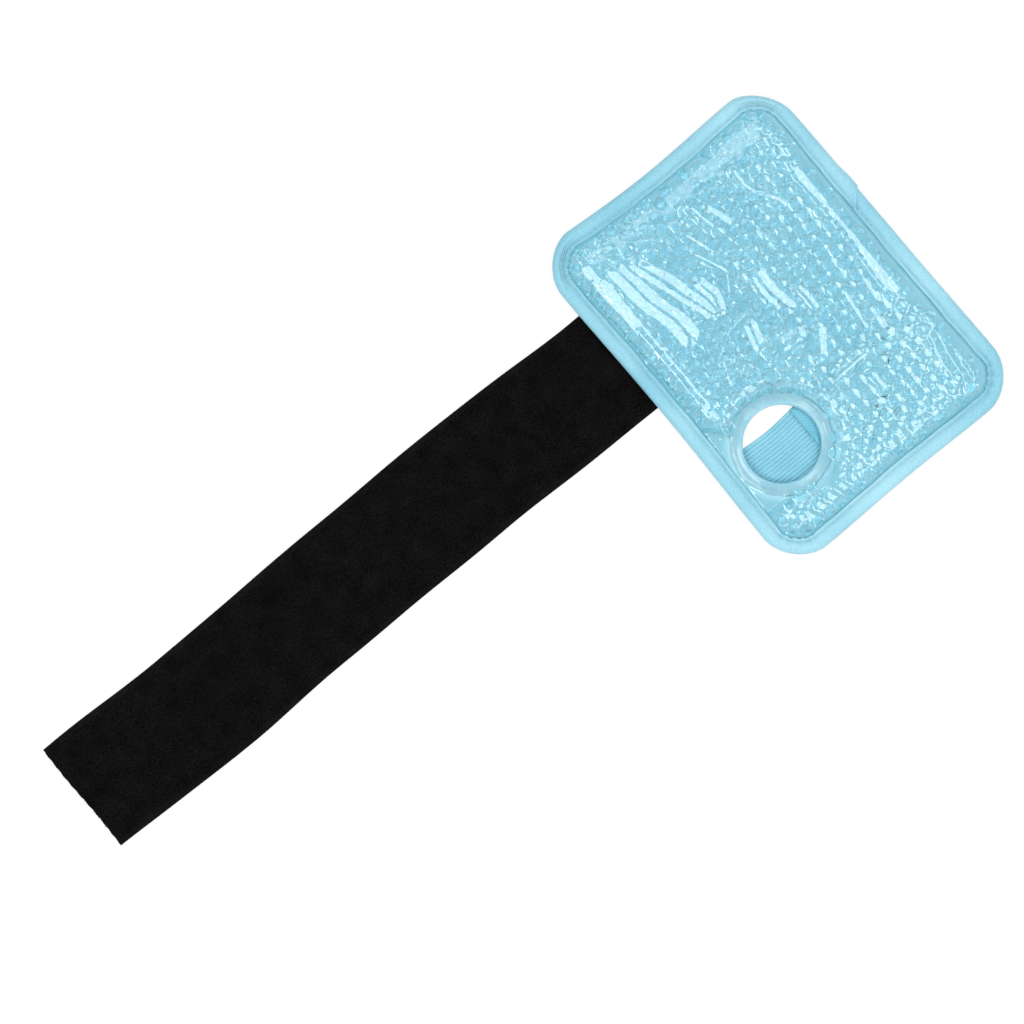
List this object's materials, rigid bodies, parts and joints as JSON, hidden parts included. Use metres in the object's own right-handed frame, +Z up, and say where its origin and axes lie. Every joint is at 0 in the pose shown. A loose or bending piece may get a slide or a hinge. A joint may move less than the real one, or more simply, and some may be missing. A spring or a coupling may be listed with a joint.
{
  "type": "gel bead hand and wrist pack",
  "caption": "Flat gel bead hot and cold pack with a thumb hole, an elastic hand band on its back and a long wrap strap with a hook patch.",
  "frame": {"origin": "middle of the pad, on its back face", "axes": "+X along the pad's long side, towards the thumb hole; -Y along the strap, towards its free end; +Z up, out of the clear film side"},
  "size_m": [0.168, 0.405, 0.014],
  "materials": {
    "clear_film": "clear, glossy and wrinkled",
    "woven_back": "fine plain weave",
    "gel_beads": "clear tinted gel, wet gloss",
    "welded_film": "smooth welded film",
    "binding_tape": "soft knitted tape",
    "blue_thread": "twisted thread",
    "ribbed_elastic": "ribs along its length",
    "woven_band": "twill weave",
    "strap_loop": "short matte loop pile",
    "hook_tape": "rows of fine hooks",
    "black_thread": "twisted thread"
  },
  "bodies": {
    "pad": {"front_film": "clear_film", "back_cover": "woven_back", "gel_bead_fill": "gel_beads", "thumb_hole_weld": "welded_film", "edge_binding": "binding_tape", "binding_thread": "blue_thread", "strap_root": "strap_loop", "strap_root_thread": "black_thread", "elastic_sewn_end": "ribbed_elastic", "panel_sewn_end": "woven_band"},
    "hand_band": {"hand_band_elastic": "ribbed_elastic", "hand_band_panel": "woven_band", "hand_band_thread": "blue_thread"},
    "strap_1": {"strap_section_1": "strap_loop"},
    "strap_2": {"strap_section_2": "strap_loop"},
    "strap_3": {"strap_section_3": "strap_loop"},
    "strap_4": {"strap_section_4": "strap_loop"},
    "strap_5": {"strap_section_5": "strap_loop"},
    "strap_6": {"strap_section_6": "strap_loop"},
    "strap_7": {"strap_section_7": "strap_loop"},
    "strap_8": {"strap_section_8": "strap_loop"},
    "strap_9": {"strap_section_9": "strap_loop"},
    "strap_10": {"strap_section_10": "strap_loop"},
    "strap_end": {"strap_tip": "strap_loop", "hook_patch": "hook_tape", "hook_patch_thread": "black_thread"}
  },
  "joints": [
    {"name": "hand_band_stretch", "type": "slide", "parent": "pad", "child": "hand_band", "axis": [0, 0, -1], "range_m": [0, 0.025], "stiffness_N_per_m": 40},
    {"name": "strap_wrap", "type": "hinge", "parent": "pad", "child": "strap_1", "pos_m": [-0.0298, -0.064, 0.0008], "axis": [1, 0, 0], "range_deg": [-22, 22]},
    {"name": "strap_bend_2", "type": "hinge", "parent": "strap_1", "child": "strap_2", "pos_m": [-0.0298, -0.0869, 0.0008], "axis": [1, 0, 0], "range_deg": [-22, 22]},
    {"name": "strap_bend_3", "type": "hinge", "parent": "strap_2", "child": "strap_3", "pos_m": [-0.0298, -0.1098, 0.0008], "axis": [1, 0, 0], "range_deg": [-22, 22]},
    {"name": "strap_bend_4", "type": "hinge", "parent": "strap_3", "child": "strap_4", "pos_m": [-0.0298, -0.1327, 0.0008], "axis": [1, 0, 0], "range_deg": [-22, 22]},
    {"name": "strap_bend_5", "type": "hinge", "parent": "strap_4", "child": "strap_5", "pos_m": [-0.0298, -0.1556, 0.0008], "axis": [1, 0, 0], "range_deg": [-22, 22]},
    {"name": "strap_bend_6", "type": "hinge", "parent": "strap_5", "child": "strap_6", "pos_m": [-0.0298, -0.1785, 0.0008], "axis": [1, 0, 0], "range_deg": [-22, 22]},
    {"name": "strap_bend_7", "type": "hinge", "parent": "strap_6", "child": "strap_7", "pos_m": [-0.0298, -0.2014, 0.0008], "axis": [1, 0, 0], "range_deg": [-22, 22]},
    {"name": "strap_bend_8", "type": "hinge", "parent": "strap_7", "child": "strap_8", "pos_m": [-0.0298, -0.2243, 0.0008], "axis": [1, 0, 0], "range_deg": [-22, 22]},
    {"name": "strap_bend_9", "type": "hinge", "parent": "strap_8", "child": "strap_9", "pos_m": [-0.0298, -0.2472, 0.0008], "axis": [1, 0, 0], "range_deg": [-22, 22]},
    {"name": "strap_bend_10", "type": "hinge", "parent": "strap_9", "child": "strap_10", "pos_m": [-0.0298, -0.2701, 0.0008], "axis": [1, 0, 0], "range_deg": [-22, 22]},
    {"name": "strap_bend_end", "type": "hinge", "parent": "strap_10", "child": "strap_end", "pos_m": [-0.0298, -0.293, 0.00125], "axis": [1, 0, 0], "range_deg": [-22, 22]}
  ],
  "couplings": [
    {"joint": "strap_bend_2", "follows": "strap_wrap", "ratio": 1},
    {"joint": "strap_bend_3", "follows": "strap_wrap", "ratio": 1},
    {"joint": "strap_bend_4", "follows": "strap_wrap", "ratio": 1},
    {"joint": "strap_bend_5", "follows": "strap_wrap", "ratio": 1},
    {"joint": "strap_bend_6", "follows": "strap_wrap", "ratio": 1},
    {"joint": "strap_bend_7", "follows": "strap_wrap", "ratio": 1},
    {"joint": "strap_bend_8", "follows": "strap_wrap", "ratio": 1},
    {"joint": "strap_bend_9", "follows": "strap_wrap", "ratio": 1},
    {"joint": "strap_bend_10", "follows": "strap_wrap", "ratio": 1},
    {"joint": "strap_bend_end", "follows": "strap_wrap", "ratio": 1}
  ]
}
